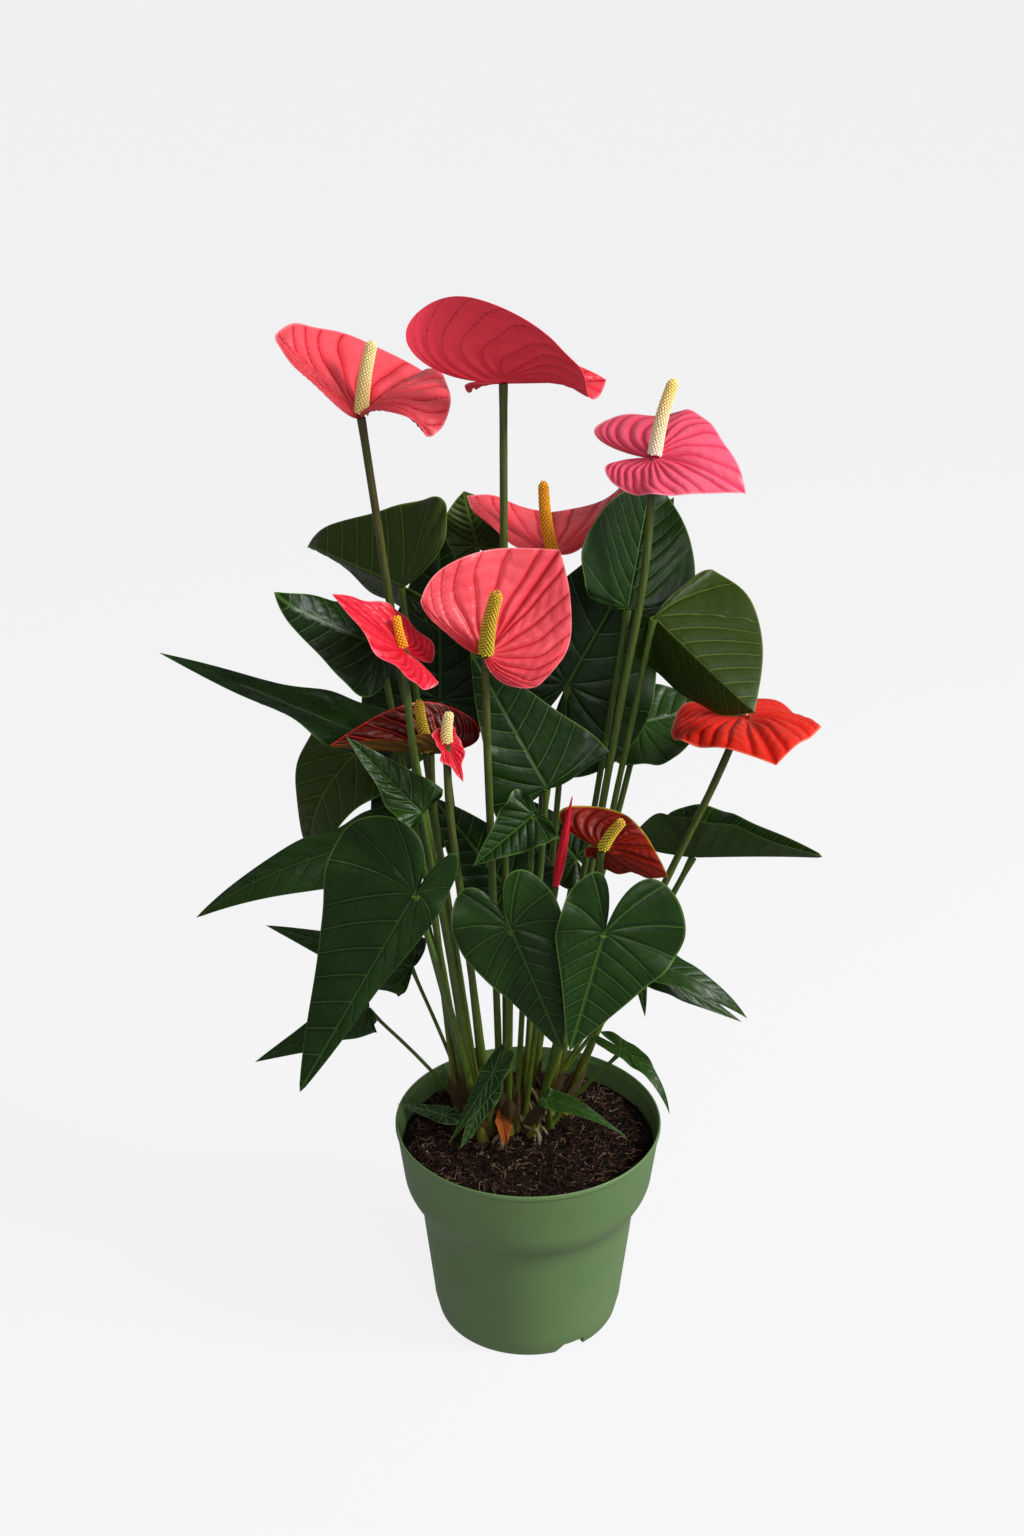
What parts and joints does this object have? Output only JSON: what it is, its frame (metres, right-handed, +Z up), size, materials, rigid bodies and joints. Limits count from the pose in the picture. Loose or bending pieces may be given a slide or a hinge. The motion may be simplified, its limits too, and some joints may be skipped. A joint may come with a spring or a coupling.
{
  "type": "potted anthurium",
  "caption": "Flamingo flower plant with red heart-shaped spathes and dark glossy leaves in a round green plastic grower's pot with a wide rim.",
  "frame": {"origin": "centre of the pot's base, on the surface it rests on", "axes": "+Z up along the pot's axis; the plant's front, seen from its usual side, faces -Y"},
  "size_m": [0.39, 0.2121, 0.6679],
  "materials": {
    "pot_plastic": "satin",
    "potting_mix": "matte",
    "roots": "matte",
    "flower_stem": "satin",
    "leaf": "satin",
    "spathe_red": "gloss",
    "spathe_pink": "gloss",
    "spathe_maroon": "gloss",
    "spadix": "matte"
  },
  "bodies": {
    "root": {"pot": "pot_plastic", "potting_mix": "potting_mix", "rootstock": "roots", "flower_left_tall_stem": "flower_stem", "flower_left_tall_spathe": "spathe_red", "flower_left_tall_spadix": "spadix", "flower_mid_tall_stem": "flower_stem", "flower_mid_tall_spathe": "spathe_red", "flower_mid_tall_spadix": "spadix", "flower_right_tall_stem": "flower_stem", "flower_right_tall_spathe": "spathe_pink", "flower_right_tall_spadix": "spadix", "flower_left_small_stem": "flower_stem", "flower_left_small_spathe": "spathe_red", "flower_left_small_spadix": "spadix", "flower_centre_large_stem": "flower_stem", "flower_centre_large_spathe": "spathe_red", "flower_centre_large_spadix": "spadix", "flower_back_stem": "flower_stem", "flower_back_spathe": "spathe_red", "flower_back_spadix": "spadix", "flower_left_dark_stem": "flower_stem", "flower_left_dark_spathe": "spathe_maroon", "flower_left_dark_spadix": "spadix", "flower_young_stem": "flower_stem", "flower_young_spathe": "spathe_red", "flower_young_spadix": "spadix", "flower_right_low_stem": "flower_stem", "flower_right_low_spathe": "spathe_red", "flower_right_low_spadix": "spadix", "flower_front_low_stem": "flower_stem", "flower_front_low_spathe": "spathe_maroon", "flower_front_low_spadix": "spadix", "flower_bud": "spathe_red", "leaf_left_top": "leaf", "leaf_left_back": "leaf", "leaf_left_curled": "leaf", "leaf_left_long": "leaf", "leaf_left_hanging": "leaf", "leaf_left_low_long": "leaf", "leaf_front_left": "leaf", "leaf_left_funnel": "leaf", "leaf_left_shaded": "leaf", "leaf_centre_upright": "leaf", "leaf_centre_small": "leaf", "leaf_centre_inner": "leaf", "leaf_front_middle": "leaf", "leaf_front_right": "leaf", "leaf_right_large": "leaf", "leaf_right_top": "leaf", "leaf_right_winged": "leaf", "leaf_right_back": "leaf", "leaf_right_folded": "leaf", "leaf_left_low": "leaf", "leaf_left_low_back": "leaf", "leaf_back_centre": "leaf", "leaf_back_top": "leaf", "offshoot_front": "leaf", "offshoot_right": "leaf", "offshoot_back_right": "leaf"}
  },
  "joints": []
}
